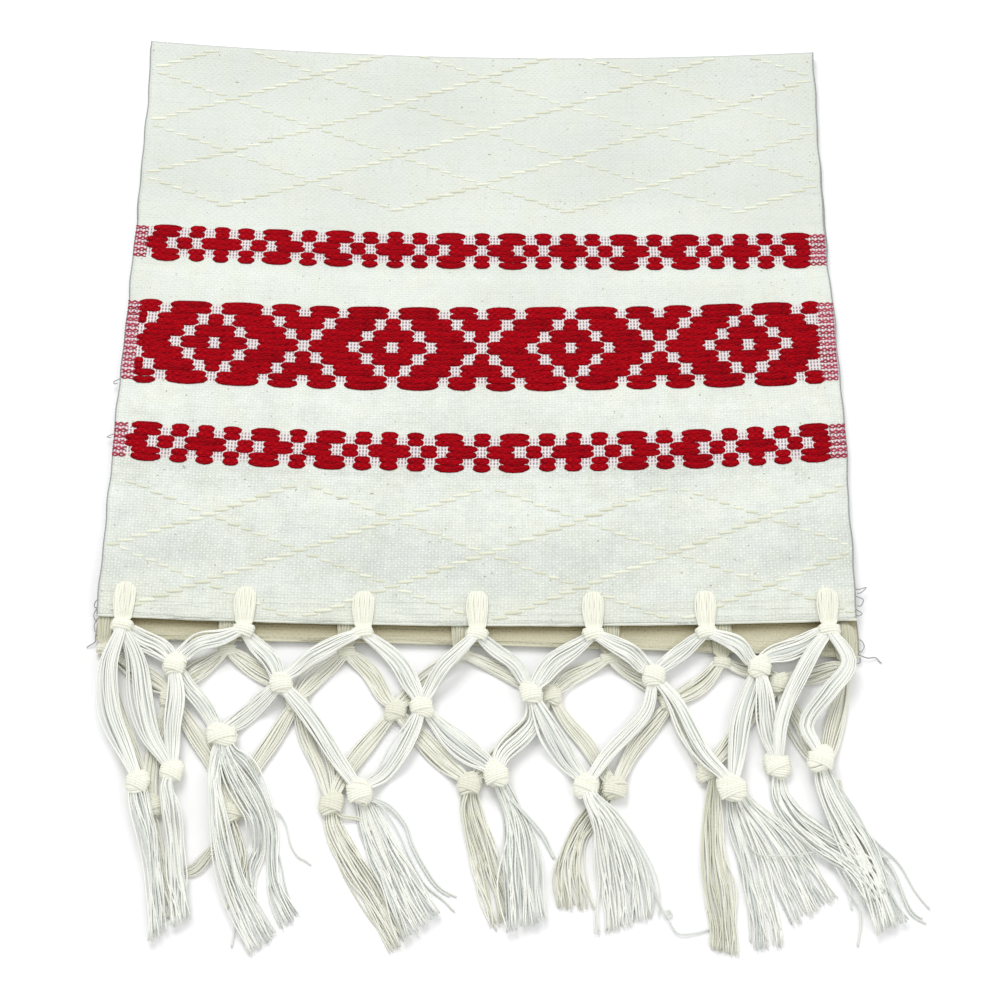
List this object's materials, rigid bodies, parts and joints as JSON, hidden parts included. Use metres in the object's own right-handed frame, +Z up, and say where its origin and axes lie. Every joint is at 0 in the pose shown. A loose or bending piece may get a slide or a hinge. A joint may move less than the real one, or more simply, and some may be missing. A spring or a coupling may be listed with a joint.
{
  "type": "folded ritual towel",
  "caption": "Handwoven towel folded once, with patterned red bands and knotted net fringes on both ends, lying flat for shelves, tables and ceremonies.",
  "frame": {"origin": "on the surface that the towel rests on, under the middle of the folded cloth", "axes": "+X to the right across the cloth, +Y from the fringed ends towards the fold, +Z up from the surface"},
  "size_m": [0.3688, 0.4757, 0.0111],
  "materials": {
    "woven_cloth": "matt handwoven plain weave, off-white, with red pattern weft and cream diamond lines",
    "fringe_yarn": "matt cream plied yarn"
  },
  "bodies": {
    "root": {"towel_cloth": "woven_cloth", "fringe_upper": "fringe_yarn", "fringe_lower": "fringe_yarn"}
  },
  "joints": []
}
